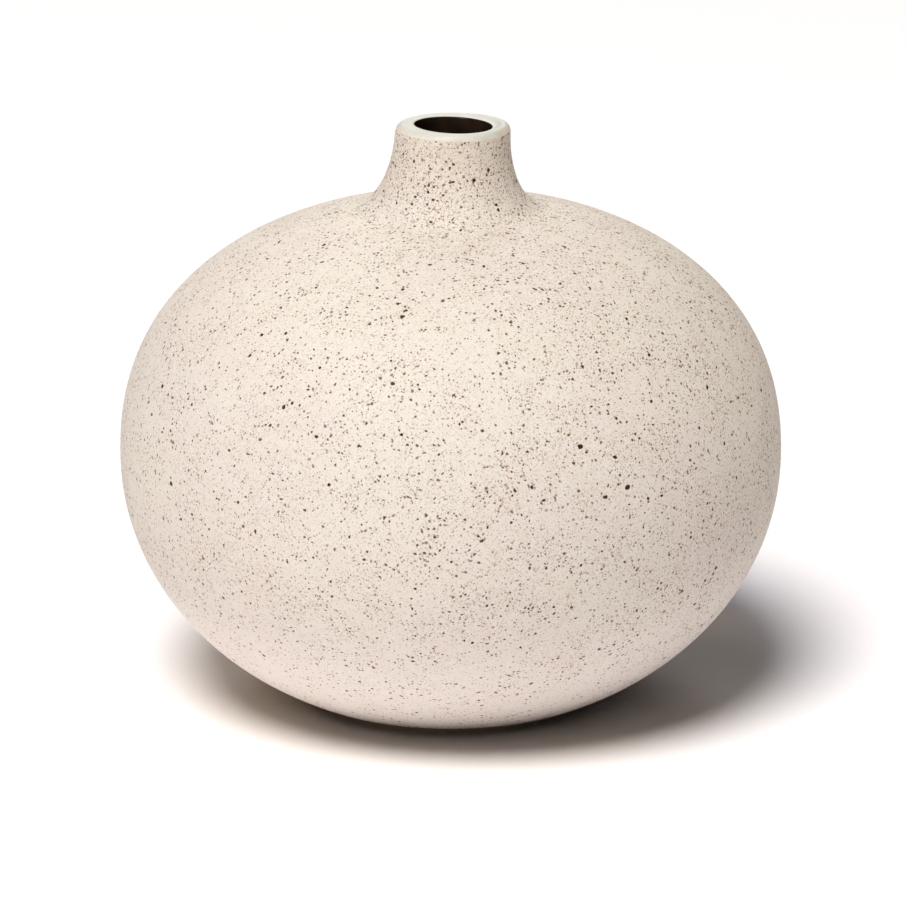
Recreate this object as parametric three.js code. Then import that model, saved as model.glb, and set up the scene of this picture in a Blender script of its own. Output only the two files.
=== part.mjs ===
// A round stoneware bud vase: a squashed ball of clay with a short flared neck, standing on a small turned foot.
// The clay is three luted pieces, a thrown bowl, a dome and a neck collar, under three coats of glaze.
// Millimetres, +Z up. The origin is the middle of the foot's resting face, and the body turns about Z.
import * as THREE from "three";

// Driving dimensions
const bodyRadius = 80; // at the widest line
const crownRise = 61.3; // from the widest line up to where the dome would close, were there no neck
const crownFullness = 2.24; // superellipse exponent of the dome: 2 is an ellipse, more is squarer
const bellyDrop = 66.6; // from the widest line down to where the belly would close, were there no foot
const bellyFullness = 2.03;
const footRadius = 33.5;
const rimRise = 80.3; // from the widest line up to the top of the rim
const rimRadius = 13.9;
const neckRootRadius = 24; // where the dome starts to turn up into the neck
const neckRootPull = 7.3; // how far the neck's curve follows the dome before it turns up
const neckTopPull = 7.6; // how far the neck's curve follows the vertical below the rim
const neckLean = THREE.MathUtils.degToRad(3); // the collar was set a little out of true, towards +X
const leanPivotRise = 68; // the height above the widest line at which the leaning neck is centred
const leanStartRadius = 34; // the dome is true outside this radius, and leans fully inside leanFullRadius
const leanFullRadius = 19;

const wall = 4.65; // whole thickness, clay and both coats
const coat = 0.5; // one coat of glaze
const bond = 0.3; // the space kept between touching pieces
const rimOuterRound = 1.9;
const rimInnerRound = 0.4;
const footRecess = 1.2; // how deep the underside is turned away inside the resting ring
const footRingWidth = 5;
const footBevel = 1.2;
const floorRadius = 40; // of the outer skin beside the flat inside floor
const glazeLineRadius = 37.5; // the outer coat stops here, above the bare foot
const waistTongue = 2; // height of the bowl's tongue inside the dome, at the widest line

// Shares of the neck's curve, from 0 at its root to 1 just under the rim
const collarFoot = 0.015; // the collar starts here, a bond's width above the dome
const coatTop = 0.955; // the outer coat stops here
const lipLine = 0.97; // the lip glaze starts here, a bond's width above it

const clayColor = 0xb9a68f;
const coatColor = 0xe6d8c6;
const liningColor = 0x231a14;
const lipColor = 0xdde0d2;

// How finely the curves are cut
const turns = 40;
const bellySteps = 8;
const domeSteps = 8;
const neckSteps = 6;

const underCoat = coat + bond;
const boreRadius = rimRadius - wall;
const widestHeight = ovalHeight(footRadius, bellyDrop, bellyFullness);
const rimHeight = widestHeight + rimRise;

// Height of the superellipse quarter above the widest line, at a radius
function ovalHeight(radius, rise, fullness) {
  return rise * (1 - (radius / bodyRadius) ** fullness) ** (1 / fullness);
}

// A station is a point of the outer skin with its outward normal, both as (radius, height).
function station(radius, height, outR, outZ) {
  return {
    point: new THREE.Vector2(radius, height),
    out: new THREE.Vector2(outR, outZ).normalize(),
  };
}

function ovalStation(angle, rise, fullness) {
  const side = Math.sign(angle);
  const across = Math.cos(angle);
  const up = Math.abs(Math.sin(angle));
  const reach = ((across / bodyRadius) ** fullness + (up / rise) ** fullness) ** (-1 / fullness);
  const outR = (reach * across) ** (fullness - 1) / bodyRadius ** fullness;
  const outZ = (reach * up) ** (fullness - 1) / rise ** fullness;
  return station(reach * across, widestHeight + side * reach * up, outR, side * outZ);
}

// Stations at evenly spaced polar angles, from one angle to another
function ovalStations(from, to, steps, rise, fullness) {
  return Array.from({ length: steps + 1 }, (_, i) =>
    ovalStation(THREE.MathUtils.lerp(from, to, i / steps), rise, fullness),
  );
}

function bellyAngle(radius) {
  return -Math.atan2(ovalHeight(radius, bellyDrop, bellyFullness), radius);
}

const neckRoot = ovalStation(
  Math.atan2(ovalHeight(neckRootRadius, crownRise, crownFullness), neckRootRadius),
  crownRise,
  crownFullness,
);
const neckTop = new THREE.Vector2(rimRadius, rimHeight - rimOuterRound);
const neckCurve = new THREE.CubicBezierCurve(
  neckRoot.point,
  new THREE.Vector2(-neckRoot.out.y, neckRoot.out.x)
    .multiplyScalar(neckRootPull)
    .add(neckRoot.point),
  new THREE.Vector2(rimRadius, neckTop.y - neckTopPull),
  neckTop,
);

// A station on the neck, at a share of its curve
function neckStation(share) {
  const point = neckCurve.getPoint(share);
  const along = neckCurve.getTangent(share);
  return station(point.x, point.y, along.y, -along.x);
}

// Stations round a quarter circle of the rim's section, from one angle to another
function roundedEdge(centreR, round, from, to, steps) {
  return Array.from({ length: steps + 1 }, (_, i) => {
    const angle = THREE.MathUtils.lerp(from, to, i / steps);
    const outR = Math.cos(angle);
    const outZ = Math.sin(angle);
    return station(centreR + round * outR, rimHeight - round + round * outZ, outR, outZ);
  });
}

// The points of some stations at one depth under the outer skin
function layer(stations, depth) {
  return stations.map(({ point, out }) => point.clone().addScaledVector(out, -depth));
}

const belly = [
  ovalStation(bellyAngle(footRadius), bellyDrop, bellyFullness),
  ...ovalStations(bellyAngle(glazeLineRadius), 0, bellySteps, bellyDrop, bellyFullness),
];
const glazedBelly = belly.slice(1);
const cavityBelly = ovalStations(
  bellyAngle(floorRadius),
  0,
  bellySteps,
  bellyDrop,
  bellyFullness,
);
const rootAngle = Math.atan2(neckRoot.point.y - widestHeight, neckRootRadius);
const dome = ovalStations(0, rootAngle, domeSteps, crownRise, crownFullness).slice(1);
const neck = Array.from({ length: neckSteps - 1 }, (_, i) => neckStation((i + 1) / neckSteps));
const rimOutside = roundedEdge(rimRadius - rimOuterRound, rimOuterRound, 0, Math.PI / 2, 3);
const rimInside = roundedEdge(boreRadius + rimInnerRound, rimInnerRound, Math.PI / 2, Math.PI, 2);

function leanShare(radius, height) {
  if (height < widestHeight) {
    return 0;
  }
  return 1 - THREE.MathUtils.smoothstep(radius, leanFullRadius, leanStartRadius);
}

// Turns a closed outline of (radius, height) points about Z, then leans whatever belongs to the neck.
function turned(name, outline, material) {
  const geometry = new THREE.LatheGeometry(outline, turns).rotateX(Math.PI / 2);
  const position = geometry.getAttribute("position");
  for (let i = 0; i < position.count; i++) {
    const x = position.getX(i);
    const height = position.getZ(i);
    const share = leanShare(Math.hypot(x, position.getY(i)), height);
    const shift = Math.tan(neckLean) * (height - widestHeight - leanPivotRise) * share;
    position.setX(i, x + shift);
  }
  geometry.computeVertexNormals();
  const piece = new THREE.Mesh(geometry, material);
  piece.name = name;
  return piece;
}

// An outline that ends where it began, for a piece that is open in the middle
function closed(points) {
  return [...points, points[0].clone()];
}

function clay() {
  return new THREE.MeshStandardMaterial({ color: clayColor, roughness: 0.9, metalness: 0 });
}

function glaze(color, roughness) {
  return new THREE.MeshStandardMaterial({ color, roughness, metalness: 0 });
}

// The thrown bowl, with the foot turned on it and a tongue round its upper edge
function makeLowerBowl() {
  const outside = layer(belly, underCoat);
  const inside = layer(cavityBelly, wall - underCoat);
  const floor = new THREE.Vector2(0, inside[0].y);
  const edgeOutside = outside.pop();
  const edgeInside = inside.pop();
  const tongueRadius = (edgeOutside.x + edgeInside.x - bond) / 2;
  const ringInside = footRadius - footRingWidth;
  return turned(
    "lower_bowl",
    [
      new THREE.Vector2(0, footRecess),
      new THREE.Vector2(ringInside - footBevel, footRecess),
      new THREE.Vector2(ringInside, 0),
      new THREE.Vector2(footRadius - footBevel, 0),
      ...outside,
      new THREE.Vector2(edgeOutside.x, widestHeight - bond / 2),
      new THREE.Vector2(tongueRadius, widestHeight - bond / 2),
      new THREE.Vector2(tongueRadius, widestHeight + waistTongue),
      new THREE.Vector2(edgeInside.x, widestHeight + waistTongue),
      edgeInside,
      ...inside.reverse(),
      floor,
    ],
    clay(),
  );
}

// The dome, rebated to sit over the bowl's tongue and open at the top for the neck
function makeUpperDome() {
  const widest = ovalStation(0, crownRise, crownFullness);
  const [edgeOutside, ...outside] = layer([widest, ...dome], underCoat);
  const [edgeInside, ...inside] = layer([widest, ...dome], wall - underCoat);
  const rebateRadius = (edgeOutside.x + edgeInside.x + bond) / 2;
  const rebateTop = widestHeight + waistTongue + bond;
  return turned(
    "upper_dome",
    closed([
      new THREE.Vector2(edgeOutside.x, widestHeight + bond / 2),
      ...outside,
      ...inside.reverse(),
      new THREE.Vector2(edgeInside.x, rebateTop),
      new THREE.Vector2(rebateRadius, rebateTop),
      new THREE.Vector2(rebateRadius, widestHeight + bond / 2),
    ]),
    clay(),
  );
}

// The collar of clay that is luted on as the neck
function makeNeckCollar() {
  const side = [neckStation(collarFoot), ...neck];
  return turned(
    "neck_collar",
    closed([
      ...layer(side, underCoat),
      ...layer(rimOutside, underCoat),
      new THREE.Vector2(boreRadius + underCoat, rimHeight - underCoat),
      ...layer(side, wall - underCoat).reverse(),
    ]),
    clay(),
  );
}

// The matt speckled coat, from above the foot to under the lip
function makeOuterGlaze() {
  const stations = [...glazedBelly, ...dome, ...neck, neckStation(coatTop)];
  return turned(
    "outer_glaze",
    closed([...layer(stations, 0), ...layer(stations, coat).reverse()]),
    glaze(coatColor, 0.75),
  );
}

// The dark glossy lining that makes the pot hold water, up to just under the lip
function makeInnerGlaze() {
  const stations = [...cavityBelly, ...dome, ...neck];
  const top = rimHeight - underCoat;
  const againstClay = [...layer(stations, wall - coat), new THREE.Vector2(boreRadius + coat, top)];
  const wetSide = [...layer(stations, wall), new THREE.Vector2(boreRadius, top)];
  const underFloor = new THREE.Vector2(0, againstClay[0].y);
  const wetFloor = new THREE.Vector2(0, wetSide[0].y);
  return turned(
    "inner_glaze",
    [underFloor, ...againstClay, ...wetSide.reverse(), wetFloor],
    glaze(liningColor, 0.25),
  );
}

// The pale plain glaze that the lip was dipped in
function makeLipGlaze() {
  const edge = [neckStation(lipLine)];
  return turned(
    "lip_glaze",
    closed([
      ...layer(edge, 0),
      ...layer(rimOutside, 0),
      ...layer(rimInside, 0),
      new THREE.Vector2(boreRadius, rimHeight - coat),
      new THREE.Vector2(boreRadius + coat, rimHeight - coat),
      ...layer(rimOutside, coat).reverse(),
      ...layer(edge, coat),
    ]),
    glaze(lipColor, 0.4),
  );
}

const vase = new THREE.Group();
vase.add(
  makeLowerBowl(),
  makeUpperDome(),
  makeNeckCollar(),
  makeOuterGlaze(),
  makeInnerGlaze(),
  makeLipGlaze(),
);

export default vase;
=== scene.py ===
import math

import bpy
import numpy as np
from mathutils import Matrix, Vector


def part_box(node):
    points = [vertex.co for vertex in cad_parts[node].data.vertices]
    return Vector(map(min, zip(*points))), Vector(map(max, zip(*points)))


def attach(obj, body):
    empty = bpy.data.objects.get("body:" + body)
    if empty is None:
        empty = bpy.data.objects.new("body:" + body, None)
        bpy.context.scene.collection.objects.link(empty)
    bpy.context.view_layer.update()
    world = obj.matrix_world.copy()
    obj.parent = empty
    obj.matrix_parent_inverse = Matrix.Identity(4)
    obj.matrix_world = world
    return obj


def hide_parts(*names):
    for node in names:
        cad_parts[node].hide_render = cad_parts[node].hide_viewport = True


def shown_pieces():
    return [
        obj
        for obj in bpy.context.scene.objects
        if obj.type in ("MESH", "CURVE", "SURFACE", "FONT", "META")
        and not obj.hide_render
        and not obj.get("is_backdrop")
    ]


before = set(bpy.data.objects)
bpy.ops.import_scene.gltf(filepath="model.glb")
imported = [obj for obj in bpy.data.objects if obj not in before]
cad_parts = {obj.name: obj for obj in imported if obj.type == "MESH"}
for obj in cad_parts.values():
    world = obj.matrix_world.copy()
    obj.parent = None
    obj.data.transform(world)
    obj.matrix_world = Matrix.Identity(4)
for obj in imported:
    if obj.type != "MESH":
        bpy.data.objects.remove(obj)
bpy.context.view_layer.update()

MM = 0.001

# The pot's outline. It is part.mjs's own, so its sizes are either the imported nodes' or repeated from there.
BOND = 0.3 * MM
BODY_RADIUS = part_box("outer_glaze")[1].x
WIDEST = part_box("upper_dome")[0].z - BOND / 2
RIM_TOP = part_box("lip_glaze")[1].z
CROWN_RISE = 61.3 * MM
CROWN_FULLNESS = 2.24
BELLY_DROP = 66.6 * MM
BELLY_FULLNESS = 2.03
FOOT_RADIUS = 33.5 * MM
RIM_RADIUS = 13.9 * MM
NECK_ROOT_RADIUS = 24 * MM
NECK_ROOT_PULL = 7.3 * MM
NECK_TOP_PULL = 7.6 * MM
NECK_LEAN = math.radians(3)
LEAN_PIVOT_RISE = 68 * MM
LEAN_START_RADIUS = 34 * MM
LEAN_FULL_RADIUS = 19 * MM
WALL = 4.65 * MM
COAT = 0.5 * MM
UNDER_COAT = COAT + BOND
BORE_RADIUS = RIM_RADIUS - WALL
RIM_OUTER_ROUND = 1.9 * MM
RIM_INNER_ROUND = 0.4 * MM
FLOOR_RADIUS = 40 * MM
GLAZE_LINE_RADIUS = 37.5 * MM
FOOT_RECESS = 1.2 * MM
FOOT_RING_WIDTH = 5 * MM
FOOT_BEVEL = 1.2 * MM

# The lip's inner edge dips towards +X, as if it had been wiped down there. The CAD's lip is level.
LIP_DIP = math.radians(2.2)
LIP_DIP_START = 8 * MM  # below the rim's top, where the dip fades in
LIP_DIP_FULL = 1 * MM  # below the rim's top, from where it is whole

# The thrown surface's relief: a depth, a wavelength, a number of waves and a seed for each
SLOW_RELIEF = (0.10 * MM, 70 * MM, 7, 1)
MEDIUM_RELIEF = (0.035 * MM, 16 * MM, 9, 2)
RING_RELIEF = (0.012 * MM, 4.5 * MM, 5, 3)

# How finely the surfaces are cut
TURNS = 320
RING_SPACING = 1.4 * MM
OUTLINE_STEPS = 400
ROUNDING_STEPS = 40
LIP_RINGS = 40
HIDDEN_STRIDE = 4  # the coat's hidden side has one ring for this many on its outer side
POLE_RADIUS = 0.5 * MM  # of the last ring before a surface closes on a point
SHARP_ANGLE = math.radians(38)
ANGLES = np.linspace(0, 2 * math.pi, TURNS, endpoint=False)

# The coat is made in bands, so that each one's texture stays fine in the export.
BAND_HEIGHTS = [0.26, 0.50, 0.74, 0.86]  # as shares of the pot's height
BAND_NAMES = ["coat_foot", "coat_belly", "coat_waist", "coat_shoulder", "coat_neck"]

# The stage
SOFTBOX_DISTANCE = 8.0
TABLE_HALF_WIDTH = 6.0
TABLE_COLOUR = (0.61, 0.59, 0.57, 1)
WORLD_GLOW = 0.02  # the white surroundings' strength as a light, where the camera sees 1
CAMERA_DISTANCE = 15 * BODY_RADIUS
CAMERA_ELEVATION = math.radians(16.3)
CAMERA_LENS = 196.87
CAMERA_SENSOR = 36
CAMERA_AIM_RIGHT = 0.57 * MM  # from the middle of the widest line, across the picture
CAMERA_AIM_DOWN = 1.31 * MM


def smooth(value, low, high):
    """0 below low, 1 above high and a smooth rise between."""
    share = np.clip((value - low) / (high - low), 0, 1)
    return share * share * (3 - 2 * share)


# ---------------------------------------------------------------- outline

def oval_height(radius, rise, fullness):
    return rise * (1 - (radius / BODY_RADIUS) ** fullness) ** (1 / fullness)


def oval_arc(open_radius, rise, fullness, side):
    """A superellipse quarter from the widest line to where it is open_radius wide.
    It goes up where side is 1, and down where it is -1."""
    last = math.atan2(oval_height(open_radius, rise, fullness), open_radius)
    angle = np.linspace(0, last, OUTLINE_STEPS)
    across, up = np.cos(angle), np.sin(angle)
    reach = ((across / BODY_RADIUS) ** fullness + (up / rise) ** fullness) ** (-1 / fullness)
    return np.column_stack([reach * across, WIDEST + side * reach * up])


def neck_curve(root, along):
    """The cubic curve that turns the dome up into the neck."""
    top = np.array([RIM_RADIUS, RIM_TOP - RIM_OUTER_ROUND])
    pulls = [root, root + along * NECK_ROOT_PULL, top - [0, NECK_TOP_PULL], top]
    t = np.linspace(0, 1, OUTLINE_STEPS)[:, None]
    weights = [(1 - t) ** 3, 3 * (1 - t) ** 2 * t, 3 * (1 - t) * t**2, t**3]
    return sum(weight * pull for weight, pull in zip(weights, pulls))


def rounding(centre_radius, round_radius, start, end):
    angle = np.linspace(start, end, ROUNDING_STEPS)
    return np.column_stack(
        [
            centre_radius + round_radius * np.cos(angle),
            RIM_TOP - round_radius + round_radius * np.sin(angle),
        ]
    )


def measured(points):
    """Each point's distance along the outline from the first."""
    return np.concatenate([[0], np.cumsum(np.hypot(*np.diff(points, axis=0).T))])


BELLY = oval_arc(FOOT_RADIUS, BELLY_DROP, BELLY_FULLNESS, -1)[::-1]
DOME = oval_arc(NECK_ROOT_RADIUS, CROWN_RISE, CROWN_FULLNESS, 1)
ROOT_ALONG = (DOME[-1] - DOME[-2]) / np.linalg.norm(DOME[-1] - DOME[-2])
NECK = neck_curve(DOME[-1], ROOT_ALONG)
OUTER_ROUND = rounding(RIM_RADIUS - RIM_OUTER_ROUND, RIM_OUTER_ROUND, 0, math.pi / 2)
INNER_ROUND = rounding(BORE_RADIUS + RIM_INNER_ROUND, RIM_INNER_ROUND, math.pi / 2, math.pi)

# The skin runs from the foot up over the rim to the top of the bore.
SKIN = np.vstack([BELLY, DOME[1:], NECK[1:], OUTER_ROUND[1:], INNER_ROUND])
ALONG = measured(SKIN)
GLAZE_LINE = float(np.interp(GLAZE_LINE_RADIUS, BELLY[:, 0], ALONG[: len(BELLY)]))
NECK_END = ALONG[len(BELLY) + len(DOME) + len(NECK) - 3]
MOUTH_EDGE = ALONG[-1] - RIM_INNER_ROUND * math.pi / 4  # where the lip meets the lining


def on_skin(length, depth=0.0):
    """Radius and height at a length along the skin, a depth under it."""
    slope = np.gradient(SKIN, ALONG, axis=0)
    slope /= np.linalg.norm(slope, axis=1)[:, None]
    radius, height, out_radius, out_height = (
        np.interp(length, ALONG, values)
        for values in (SKIN[:, 0], SKIN[:, 1], slope[:, 1], -slope[:, 0])
    )
    return radius - out_radius * depth, height - out_height * depth


# ---------------------------------------------------------------- surfaces

def placed(radius, height):
    """Turns rings of radius and height about Z, then leans the neck and dips the lip.
    A ring's radius and height are each one number, or one for every angle."""
    radius = np.broadcast_to(radius, np.broadcast_shapes(np.shape(radius), (1, TURNS)))
    height = np.broadcast_to(height, radius.shape)
    inside = 1 - smooth(radius, LEAN_FULL_RADIUS, LEAN_START_RADIUS)
    slope = np.where(height < WIDEST, 0, inside) * math.tan(NECK_LEAN)
    x = radius * np.cos(ANGLES) + slope * (height - WIDEST - LEAN_PIVOT_RISE)
    by_bore = 1 - smooth(radius, BORE_RADIUS + RIM_INNER_ROUND, RIM_RADIUS - RIM_OUTER_ROUND)
    by_top = smooth(height, RIM_TOP - LIP_DIP_START, RIM_TOP - LIP_DIP_FULL)
    from_high_side = np.maximum(radius * np.cos(ANGLES) + BORE_RADIUS, 0)
    dip = math.tan(LIP_DIP) * from_high_side * by_bore * by_top
    return np.stack([x, radius * np.sin(ANGLES), height - dip], axis=-1)


def ripples(points, wavelength, count, seed):
    """A smooth field from -1 to 1: waves of about one length in random directions."""
    random = np.random.default_rng(seed)
    field = np.zeros(points.shape[:-1])
    for _ in range(count):
        direction = random.normal(size=3)
        direction /= np.linalg.norm(direction) * wavelength * random.uniform(0.8, 1.25)
        field += np.sin(2 * math.pi * (points @ direction) + random.uniform(0, 2 * math.pi))
    return field / count


def hollows(points, depth, wavelength, count, seed):
    """Ripples that only go inwards, from 0 to twice the depth."""
    return depth * (1 + ripples(points, wavelength, count, seed))


def hand_relief(points):
    """How far the thrown surface lies inside the true outline: slow unevenness and faint throwing rings."""
    slow = hollows(points, *SLOW_RELIEF)
    medium = hollows(points, *MEDIUM_RELIEF)
    squeezed = points * [0.15, 0.15, 1.0]  # so that the waves run nearly level round the pot
    return slow + medium + hollows(squeezed, *RING_RELIEF)


def grid_normals(grid):
    """Outward normals of a grid of rings by angles, closed round the angles."""
    around = np.roll(grid, -1, axis=1) - np.roll(grid, 1, axis=1)
    up = np.gradient(grid, axis=0)
    normal = np.cross(around, up)
    return normal / np.linalg.norm(normal, axis=-1, keepdims=True)


def skin_mesh(name, rings, ends="closed", normals=None):
    """A mesh through rings of points, outside first.
    With ends "closed" the last ring joins the first. With "poles" the first and last rings each close on
    a point of their own. normals, if given, are those of the first rings."""
    count = len(rings)
    points = rings.reshape(-1, 3)
    next_turn = np.roll(np.arange(TURNS), -1)
    faces = []
    last = count if ends == "closed" else count - 1
    for ring in range(last):
        low, high = ring * TURNS, (ring + 1) % count * TURNS
        faces += [
            (low + a, low + b, high + b, high + a) for a, b in zip(range(TURNS), next_turn)
        ]
    if ends == "poles":
        points = np.vstack([points, rings[0].mean(axis=0), rings[-1].mean(axis=0)])
        start, end = len(points) - 2, len(points) - 1
        top = (count - 1) * TURNS
        faces += [(start, b, a) for a, b in zip(range(TURNS), next_turn)]
        faces += [(end, top + a, top + b) for a, b in zip(range(TURNS), next_turn)]
    mesh = bpy.data.meshes.new(name)
    mesh.from_pydata(points.tolist(), [], [tuple(map(int, face)) for face in faces])
    mesh.shade_smooth()
    mesh.set_sharp_from_angle(angle=SHARP_ANGLE)
    if normals is not None:
        set_outer_normals(mesh, normals)
    piece = bpy.data.objects.new(name, mesh)
    bpy.context.scene.collection.objects.link(piece)
    return piece


def set_outer_normals(mesh, normals):
    """Gives the outer side the whole coat's normals, so that no band's edge shows.
    The rest keep their own."""
    outer = normals.reshape(-1, 3)
    corners = np.zeros(len(mesh.loops), dtype=int)
    mesh.loops.foreach_get("vertex_index", corners)
    shared = np.zeros((len(mesh.loops), 3))
    outside_faces = (len(normals) - 1) * TURNS
    shown = slice(0, outside_faces * 4)
    shared[shown] = outer[corners[shown]]
    mesh.normals_split_custom_set(shared.tolist())


# ---------------------------------------------------------------- material recipes

def shade(red, green, blue):
    """A colour from its 0 to 255 screen values, as the linear one that shaders take."""
    channels = [value / 255 for value in (red, green, blue)]
    return (
        *(c / 12.92 if c <= 0.04045 else ((c + 0.055) / 1.055) ** 2.4 for c in channels),
        1.0,
    )


CREAM = shade(227, 219, 206)
ROSY_CREAM = shade(226, 214, 204)
CHALK = shade(230, 223, 215)
LOW_CREAM = shade(226, 217, 212)
NECK_CREAM = shade(222, 207, 187)
HAZE = shade(178, 160, 140)
FINE_SPECK = shade(118, 86, 54)
BROWN_SPECK = shade(80, 46, 14)
BLACK_SPECK = shade(44, 20, 4)
RUST = shade(160, 94, 42)
WARM_CREAM = shade(226, 214, 200)
MINT = shade(205, 207, 194)
PALE_LILAC = shade(206, 202, 197)
STRAW = shade(208, 198, 168)
BARE_CLAY = shade(196, 174, 148)
TOASTED_CLAY = shade(180, 153, 124)
PALE_GRIT = shade(212, 194, 170)
LINING_BROWN = shade(58, 40, 30)
LINING_BLACK = shade(38, 30, 25)


class Recipe:
    """One material's nodes. Each method adds a node and returns its output, and sizes are in millimetres."""

    def __init__(self, name):
        self.material = bpy.data.materials.new(name)
        self.material.use_nodes = True
        self.tree = self.material.node_tree
        self.surface = self.tree.nodes["Principled BSDF"]
        coordinates = self.tree.nodes.new("ShaderNodeTexCoord")
        self.place = self.scaled(coordinates.outputs["Object"], 1 / MM)

    def node(self, kind, inputs, **settings):
        made = self.tree.nodes.new(kind)
        for setting, value in settings.items():
            setattr(made, setting, value)
        for socket, value in inputs.items():
            self.feed(made.inputs[socket], value)
        return made

    def feed(self, socket, value):
        if isinstance(value, bpy.types.NodeSocket):
            self.tree.links.new(value, socket)
        else:
            socket.default_value = value

    def maths(self, operation, a, b, c=0.0):
        return self.node("ShaderNodeMath", {0: a, 1: b, 2: c}, operation=operation).outputs[0]

    def scaled(self, vector, factor):
        inputs = {0: vector, "Scale": factor}
        return self.node("ShaderNodeVectorMath", inputs, operation="SCALE").outputs[0]

    def moved(self, vector, by):
        return self.node("ShaderNodeVectorMath", {0: vector, 1: by}, operation="ADD").outputs[0]

    def position(self):
        """The x, y and z of the place."""
        return self.node("ShaderNodeSeparateXYZ", {0: self.place}).outputs

    def noise(self, size, detail=2.0, where=None):
        inputs = {"Vector": where or self.place, "Scale": 1 / size, "Detail": detail}
        return self.node("ShaderNodeTexNoise", inputs).outputs["Fac"]

    def crumpled(self, size, amount, where):
        """where, pushed about at random, so that round cells come out irregular."""
        inputs = {"Vector": where, "Scale": 1 / size, "Detail": 1.0}
        push = self.node("ShaderNodeTexNoise", inputs).outputs["Color"]
        centred = self.moved(push, (-0.5, -0.5, -0.5))
        return self.moved(where, self.scaled(centred, amount))

    def rise(self, value, low, high, bottom=0.0, top=1.0):
        """A smooth step of value between low and high, from bottom to top.
        Where low is the larger of the two, top belongs to the smaller values."""
        inputs = {
            "Value": value,
            "From Min": low,
            "From Max": high,
            "To Min": bottom,
            "To Max": top,
        }
        made = self.node("ShaderNodeMapRange", inputs, interpolation_type="SMOOTHSTEP")
        return made.outputs[0]

    def mixed(self, share, a, b):
        inputs = {0: share, 6: a, 7: b}
        return self.node("ShaderNodeMix", inputs, data_type="RGBA").outputs[2]

    def specks(self, spacing, radius, share, seed, soften=0.35):
        """Specks of up to this radius, most of them smaller, in a share of cells of this spacing.
        Returns where they lie, from 0 to 1, and a random number for each."""
        where = self.moved(self.place, (seed * 17.3, seed * 9.1, seed * 5.7))
        where = self.crumpled(radius * 2.6, radius * 2.0, where)
        cell = self.node("ShaderNodeTexVoronoi", {"Vector": where, "Scale": 1 / spacing})
        random = self.node("ShaderNodeSeparateColor", {0: cell.outputs["Color"]})
        present = self.maths("LESS_THAN", random.outputs[0], share)
        largeness = self.maths("MULTIPLY", random.outputs[1], random.outputs[1])
        reach = self.maths("MULTIPLY_ADD", largeness, radius * 0.6, radius * 0.4)
        distance = self.maths("MULTIPLY", cell.outputs["Distance"], spacing)
        inside = self.maths("DIVIDE", distance, reach)
        cover = self.rise(inside, 1.0 - soften, 1.0, 1.0, 0.0)
        return self.maths("MULTIPLY", cover, present), random.outputs[2]

    def bump(self, height, depth):
        """Turns a height from 0 to 1 into relief this deep."""
        inputs = {"Height": height, "Distance": depth * MM, "Strength": 1.0}
        self.feed(self.surface.inputs["Normal"], self.node("ShaderNodeBump", inputs).outputs[0])


def speck_crowding(r, across, height):
    """How thickly the specks lie: in loose clusters.
    They are fewer near the foot, and more on the neck and to the right."""
    widest = WIDEST / MM
    low_fade = r.rise(height, 4.0, 50.0, 0.45, 1.0)
    neck_gain = r.rise(height, widest + 55.0, widest + 66.0, 1.0, 2.0)
    cluster = r.rise(r.noise(8.0, 3.0), 0.33, 0.67, 0.65, 1.35)
    drift = r.rise(across, -75.0, 75.0, 0.88, 1.20)
    crowd = r.maths("MULTIPLY", r.maths("MULTIPLY", cluster, low_fade), neck_gain)
    return r.maths("MULTIPLY", crowd, drift)


def mottled_ground(r, height, crowd):
    """The cream under the specks: rosier in patches and low down, warmer on the neck, chalky and hazed."""
    widest = WIDEST / MM
    ground = r.mixed(r.rise(r.noise(34.0, 2.0), 0.38, 0.64, 0.0, 0.7), CREAM, ROSY_CREAM)
    ground = r.mixed(r.rise(height, 56.0, 10.0, 0.0, 0.7), ground, LOW_CREAM)
    on_neck = r.rise(height, widest + 62.0, widest + 74.0, 0.0, 0.4)
    ground = r.mixed(on_neck, ground, NECK_CREAM)
    ground = r.mixed(r.rise(r.noise(2.2, 3.0), 0.42, 0.72, 0.0, 0.6), ground, CHALK)
    haze = r.maths("MULTIPLY", r.rise(r.noise(0.42, 2.0), 0.49, 0.69, 0.0, 0.52), crowd)
    return r.mixed(haze, ground, HAZE)


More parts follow.
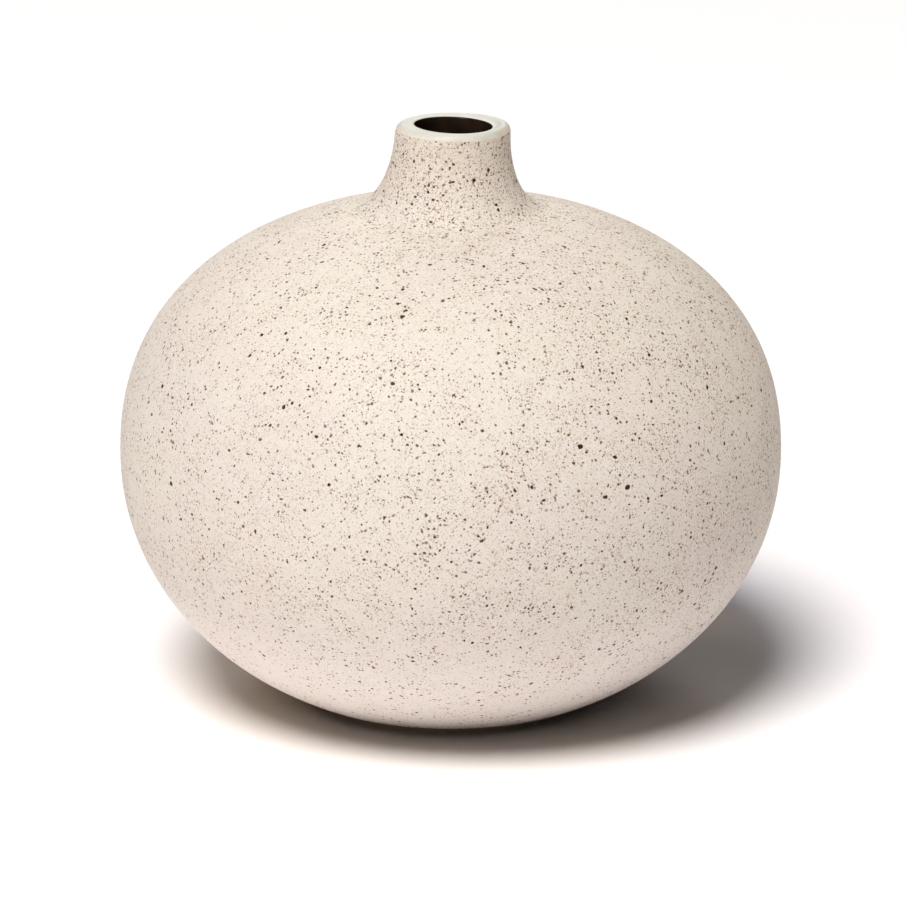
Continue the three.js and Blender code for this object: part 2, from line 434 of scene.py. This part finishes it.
def speckled_coat():
    """The matt cream coat with iron specks of three sizes, some of them bleeding rust."""
    r = Recipe("speckled_matt_glaze")
    across, _, height = r.position()
    crowd = speck_crowding(r, across, height)
    ground = mottled_ground(r, height, crowd)

    fine, fine_random = r.specks(0.64, 0.30, r.maths("MULTIPLY", crowd, 0.80), 1, 0.5)
    brown, brown_random = r.specks(1.02, 0.48, r.maths("MULTIPLY", crowd, 0.60), 2, 0.4)
    black, black_random = r.specks(2.7, 0.64, r.maths("MULTIPLY", crowd, 0.32), 3, 0.3)

    fine_cover = r.maths("MULTIPLY", fine, r.rise(fine_random, 0.0, 1.0, 0.28, 1.0))
    colour = r.mixed(fine_cover, ground, FINE_SPECK)
    brown_cover = r.maths("MULTIPLY", brown, r.rise(brown_random, 0.0, 1.0, 0.6, 1.0))
    brown_colour = r.mixed(r.rise(brown_random, 0.02, 0.28), RUST, BROWN_SPECK)
    colour = r.mixed(brown_cover, colour, brown_colour)
    colour = r.mixed(black, colour, r.mixed(black_random, BROWN_SPECK, BLACK_SPECK))
    r.feed(r.surface.inputs["Base Color"], colour)

    pitted = r.maths("MAXIMUM", brown_cover, black)
    rough = r.rise(r.noise(2.6, 2.0), 0.3, 0.7, 0.60, 0.74)
    r.feed(r.surface.inputs["Roughness"], r.maths("MULTIPLY_ADD", pitted, -0.18, rough))
    grain = r.maths("MULTIPLY", r.noise(0.55, 3.0), 0.55)
    r.bump(r.maths("MULTIPLY_ADD", pitted, -0.45, grain), 0.07)
    r.surface.inputs["Specular IOR Level"].default_value = 0.25
    return r.material


def pale_lip():
    """The plain greenish white lip, thinning through straw to the cream of the coat below."""
    r = Recipe("pale_lip_glaze")
    from_edge = r.node("ShaderNodeAttribute", {}, attribute_name="from_edge").outputs["Fac"]
    uneven = r.maths("ADD", from_edge, r.rise(r.noise(1.8, 2.0), 0.3, 0.7, -0.4, 0.4))
    glaze = r.mixed(r.rise(r.noise(3.5, 2.0), 0.45, 0.7, 0.0, 0.7), MINT, PALE_LILAC)
    pooled = r.maths("MULTIPLY", r.rise(r.noise(6.0, 1.0), 0.5, 0.62), r.rise(uneven, 2.5, 0.9))
    glaze = r.mixed(pooled, glaze, STRAW)
    r.feed(r.surface.inputs["Base Color"], r.mixed(r.rise(uneven, 0.0, 1.6), WARM_CREAM, glaze))
    r.feed(r.surface.inputs["Roughness"], r.rise(r.noise(3.0, 2.0), 0.3, 0.7, 0.42, 0.56))
    r.bump(r.noise(1.4, 2.0), 0.03)
    r.surface.inputs["Specular IOR Level"].default_value = 0.4
    return r.material


def dark_lining():
    """The very dark glossy glaze inside."""
    r = Recipe("dark_liner_glaze")
    colour = r.mixed(r.rise(r.noise(6.0, 3.0), 0.35, 0.65), LINING_BLACK, LINING_BROWN)
    r.feed(r.surface.inputs["Base Color"], colour)
    r.feed(r.surface.inputs["Roughness"], r.rise(r.noise(4.0, 2.0), 0.3, 0.7, 0.12, 0.26))
    r.bump(r.noise(3.5, 2.0), 0.08)
    return r.material


def bare_clay():
    """Dry fired stoneware: gritty buff clay, toasted in patches, with the same iron specks."""
    r = Recipe("bare_clay")
    colour = r.mixed(r.rise(r.noise(9.0, 6.0), 0.36, 0.70), BARE_CLAY, TOASTED_CLAY)
    colour = r.mixed(r.rise(r.noise(0.7, 3.0), 0.48, 0.70, 0.0, 0.6), colour, PALE_GRIT)
    fine, fine_random = r.specks(0.95, 0.34, 0.85, 5, 0.5)
    dark, _ = r.specks(2.0, 0.50, 0.45, 6)
    colour = r.mixed(r.maths("MULTIPLY", fine, r.rise(fine_random, 0.0, 1.0, 0.3, 1.0)), colour, FINE_SPECK)
    colour = r.mixed(dark, colour, BLACK_SPECK)
    r.feed(r.surface.inputs["Base Color"], colour)
    r.feed(r.surface.inputs["Roughness"], r.rise(r.noise(1.2, 2.0), 0.3, 0.7, 0.82, 0.95))
    r.bump(r.noise(0.5, 3.0), 0.18)
    r.surface.inputs["Specular IOR Level"].default_value = 0.25
    return r.material


# ---------------------------------------------------------------- pieces

def finished(piece, material, slot, *nodes):
    piece.data.materials.append(material)
    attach(piece, "root")
    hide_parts(*nodes)
    return piece


def wavy(depth, waves, seed):
    """One number per angle: a line that a dip leaves, up and down by about depth."""
    random = np.random.default_rng(seed)
    line = sum(
        np.sin(ANGLES * wave + random.uniform(0, 2 * math.pi)) / wave**0.5 for wave in waves
    )
    return depth * line / len(waves)


# Where the lip's and the coat's edges lie along the skin, one length per angle. The lip's is askew.
LIP_SKEW = 0.6 * MM * np.cos(ANGLES + math.radians(60))
LIP_EDGE = NECK_END + 0.7 * MM - LIP_SKEW + wavy(0.4 * MM, (3, 4, 6, 9), 11)
COAT_EDGE = GLAZE_LINE + wavy(0.7 * MM, (1, 2, 3, 4, 7), 12)


def make_coat(material):
    """The outer coat, a thin closed shell in bands that share their edges and normals."""
    edge_rounding = 0.6 * MM
    under_lip = 0.15 * MM
    top = LIP_EDGE + under_lip
    span = (top - COAT_EDGE).mean()
    edge_steps = np.linspace(0, edge_rounding / span, 6)[:-1]
    body_steps = np.linspace(edge_rounding / span, 1, int(span / RING_SPACING))
    share = np.concatenate([edge_steps, body_steps])
    length = COAT_EDGE + (top - COAT_EDGE) * share[:, None]
    from_edge = np.clip((length - COAT_EDGE) / edge_rounding, 0, 1)
    edge_depth = COAT * (1 - np.sqrt(1 - (1 - from_edge) ** 2))
    true = placed(*on_skin(length))
    relief = hand_relief(true)
    outer = placed(*on_skin(length, relief + edge_depth))
    inner = placed(*on_skin(length, relief + COAT))
    normals = grid_normals(outer)

    heights = true[:, 0, 2] / RIM_TOP
    between = [int(np.searchsorted(heights, height)) for height in BAND_HEIGHTS]
    cuts = [0, *between, len(share) - 1]
    for name, low, high in zip(BAND_NAMES, cuts[:-1], cuts[1:]):
        coarse = np.unique(np.append(np.arange(low, high, HIDDEN_STRIDE), high))[::-1]
        band = skin_mesh(
            name,
            np.concatenate([outer[low : high + 1], inner[coarse]]),
            normals=normals[low : high + 1],
        )
        finished(band, material, "speckled_matt_glaze", "outer_glaze")


def make_lip(material):
    """The lip glaze, from its wavy edge on the rim's side over to the mouth."""
    thin_edge = 0.05 * MM
    share = np.linspace(0, 1, LIP_RINGS)[:, None]
    length = LIP_EDGE + (MOUTH_EDGE - LIP_EDGE) * share
    from_edge = length - LIP_EDGE
    from_mouth = MOUTH_EDGE - length
    relief = hand_relief(placed(*on_skin(length))) * (1 - smooth(from_edge, 0.5 * MM, 2.5 * MM))
    edge_step = thin_edge * (1 - smooth(from_edge, 0, 0.3 * MM))
    thickening = smooth(from_edge, 0, 1.0 * MM) * smooth(from_mouth, 0, 1.0 * MM)
    under_depth = thin_edge + COAT * thickening
    outer = placed(*on_skin(length, relief + edge_step))
    under = placed(*on_skin(length, relief + edge_step + under_depth))
    rings = np.concatenate([outer, under[::-3]])
    piece = skin_mesh("lip_glaze_ring", rings)
    distance = np.concatenate([from_edge, from_edge[::-3]]).ravel() / MM
    attribute = piece.data.attributes.new("from_edge", "FLOAT", "POINT")
    attribute.data.foreach_set("value", distance.astype(np.float32))
    finished(piece, material, "pale_lip_glaze", "lip_glaze")


def wall_outline(depth, low, high, spacing):
    """Radius and height along the skin between two lengths, at one depth."""
    length = np.linspace(low, high, max(2, int((high - low) / spacing)))
    return np.column_stack(on_skin(length, depth))


def turned(name, outline, ends):
    rings = placed(outline[:, 0][:, None], outline[:, 1][:, None])
    return skin_mesh(name, rings, ends)


def flat_run(start, end, steps):
    return np.linspace(start, end, steps + 1)[1:-1]


FLOOR_LENGTH = float(np.interp(FLOOR_RADIUS, BELLY[:, 0], ALONG[: len(BELLY)]))
WIDEST_LENGTH = ALONG[len(BELLY) - 1]
ROOT_LENGTH = ALONG[len(BELLY) + len(DOME) - 2]


def make_lining(material):
    """The lining: a closed skin from the middle of the floor up to the lip and back."""
    wet = wall_outline(WALL, FLOOR_LENGTH, NECK_END, 2 * MM)
    dry = wall_outline(WALL - COAT, FLOOR_LENGTH, NECK_END, 6 * MM)
    mouth_shares = (1.0, 0.7, 0.4, 0.1)
    mouth = [on_skin(MOUTH_EDGE + share * (ALONG[-1] - MOUTH_EDGE)) for share in mouth_shares]
    dry_top = [BORE_RADIUS + COAT, RIM_TOP - COAT]
    wet_floor = flat_run([POLE_RADIUS, wet[0, 1]], wet[0], 12)
    dry_floor = flat_run([POLE_RADIUS, dry[0, 1]], dry[0], 6)
    outline = np.vstack([dry_floor, dry, dry_top, mouth[::-1], wet[::-1], wet_floor[::-1]])
    finished(turned("lining", outline, "poles"), material, "dark_liner_glaze", "inner_glaze")


def make_bowl(material):
    """The lower clay with its foot: a flat ring with eased edges round a recess with turning marks."""
    ease = 0.6 * MM
    ring_out = FOOT_RADIUS - FOOT_BEVEL
    ring_in = FOOT_RADIUS - FOOT_RING_WIDTH
    radius = np.linspace(POLE_RADIUS, ring_in - 2 * MM, 110)
    marks = 0.06 * MM * np.sin(radius / (0.4 * MM)) * smooth(radius, 3 * MM, 8 * MM)
    recess = np.column_stack([radius, FOOT_RECESS + marks])
    bevel = np.array([[ring_in - FOOT_BEVEL, FOOT_RECESS], [ring_in - 0.3 * MM, 0.3 * MM]])
    ring = np.array(
        [[ring_in + ease / 2, 0], [ring_out - ease / 2, 0], [ring_out + ease, 0.2 * MM]]
    )
    outside = wall_outline(UNDER_COAT, 0, WIDEST_LENGTH, 1.5 * MM)
    inside = wall_outline(WALL - UNDER_COAT, FLOOR_LENGTH, WIDEST_LENGTH, 4 * MM)
    floor = flat_run([POLE_RADIUS, inside[0, 1]], inside[0], 6)
    outline = np.vstack([recess, bevel, ring, outside, inside[::-1], floor[::-1]])
    finished(turned("clay_bowl", outline, "poles"), material, "bare_clay", "lower_bowl")


def make_clay_ring(name, material, low, high, node):
    outside = wall_outline(UNDER_COAT, low, high, 2 * MM)
    inside = wall_outline(WALL - UNDER_COAT, low, high, 4 * MM)
    outline = np.vstack([outside, inside[::-1]])
    finished(turned(name, outline, "closed"), material, "bare_clay", node)


# ---------------------------------------------------------------- stage

def make_floor():
    """A large pale table, grey enough that the shadow on it stays deep under its own stronger key."""
    half = TABLE_HALF_WIDTH
    mesh = bpy.data.meshes.new("floor")
    corners = [(-half, -half, 0), (half, -half, 0), (half, half, 0), (-half, half, 0)]
    mesh.from_pydata(corners, [], [(0, 1, 2, 3)])
    floor = bpy.data.objects.new("floor", mesh)
    bpy.context.scene.collection.objects.link(floor)
    r = Recipe("table_white")
    r.surface.inputs["Base Color"].default_value = TABLE_COLOUR
    r.surface.inputs["Roughness"].default_value = 0.8
    r.surface.inputs["Specular IOR Level"].default_value = 0.1
    mesh.materials.append(r.material)
    floor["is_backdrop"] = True
    return floor


def area_light(name, place, facing, size, strength):
    """A soft round light at a place, shining away from the way that facing points."""
    light = bpy.data.lights.new(name, "AREA")
    light.shape = "DISK"
    light.size = size
    light.energy = strength
    made = bpy.data.objects.new(name, light)
    made.location = place
    made.rotation_euler = facing.to_track_quat("Z", "Y").to_euler()
    made.visible_camera = False
    bpy.context.scene.collection.objects.link(made)
    return made


def add_softbox(name, azimuth, elevation, strength, lit=None, size=3.2, tint=(1.0, 1.0, 1.0)):
    """A large light far off. Azimuth 0 is in front of the vase and 90 to its right.
    lit is the collection that it reaches, or None for everything."""
    turn, rise = math.radians(azimuth), math.radians(elevation)
    level = math.cos(rise)
    away = Vector((math.sin(turn) * level, -math.cos(turn) * level, math.sin(rise)))
    place = Vector((0, 0, WIDEST)) + away * SOFTBOX_DISTANCE
    softbox = area_light(name, place, away, size, strength)
    softbox.light_linking.receiver_collection = lit
    softbox.data.color = tint


def collected(name, pieces):
    collection = bpy.data.collections.new(name)
    for piece in pieces:
        collection.objects.link(piece)
    return collection


def light_stage(table):
    """A key from the front left, stronger on the table so that it goes white, and weaker lights behind.
    The vase has two fills to itself. The table has two, which warm the shadow's left and cool its right."""
    vase = collected("lit_vase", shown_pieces())
    ground = collected("lit_table", [table])
    add_softbox("key_on_vase", -19, 64, 566, vase)
    add_softbox("key_on_table", -23, 60, 1358, ground, size=3.8, tint=(1.0, 0.95, 0.91))
    add_softbox("cool_on_table", -23, 70, 140, ground, size=3.8, tint=(0.0, 0.34, 1.0))
    add_softbox("warm_on_table", -120, 30, 72, ground, tint=(1.0, 0.56, 0.22))
    add_softbox("low_fill", -30, 5, 145, vase)
    add_softbox("high_fill", 120, 70, 135, vase, tint=(1.0, 0.88, 0.72))
    add_softbox("back_left", -135, 45, 45)
    add_softbox("back", 180, 30, 115)


def make_surroundings():
    """Plain white behind the vase, which hardly lights it."""
    world = bpy.data.worlds.new("studio")
    world.use_nodes = True
    tree = world.node_tree
    background = tree.nodes["Background"]
    background.inputs["Color"].default_value = (1.0, 1.0, 1.0, 1)
    seen = tree.nodes.new("ShaderNodeLightPath").outputs["Is Camera Ray"]
    strength = tree.nodes.new("ShaderNodeMapRange")
    strength.inputs["To Min"].default_value = WORLD_GLOW
    strength.inputs["To Max"].default_value = 1.0
    tree.links.new(seen, strength.inputs["Value"])
    tree.links.new(strength.outputs[0], background.inputs["Strength"])
    bpy.context.scene.world = world
    bpy.context.scene.view_settings.view_transform = "Standard"


def make_camera():
    """A long lens a little above the vase."""
    data = bpy.data.cameras.new("camera")
    data.sensor_width = CAMERA_SENSOR
    data.lens = CAMERA_LENS
    camera = bpy.data.objects.new("camera", data)
    back = Vector((0, -math.cos(CAMERA_ELEVATION), math.sin(CAMERA_ELEVATION)))
    up = Vector((0, math.sin(CAMERA_ELEVATION), math.cos(CAMERA_ELEVATION)))
    target = Vector((CAMERA_AIM_RIGHT, 0, WIDEST)) - up * CAMERA_AIM_DOWN
    camera.location = target + back * CAMERA_DISTANCE
    camera.rotation_euler = back.to_track_quat("Z", "Y").to_euler()
    bpy.context.scene.collection.objects.link(camera)
    bpy.context.scene.camera = camera


make_camera()
table = make_floor()
make_surroundings()
clay = bare_clay()
make_coat(speckled_coat())
make_lip(pale_lip())
make_lining(dark_lining())
make_bowl(clay)
make_clay_ring("clay_dome", clay, WIDEST_LENGTH + BOND, ROOT_LENGTH, "upper_dome")
make_clay_ring("clay_neck", clay, ROOT_LENGTH + BOND, NECK_END, "neck_collar")
light_stage(table)
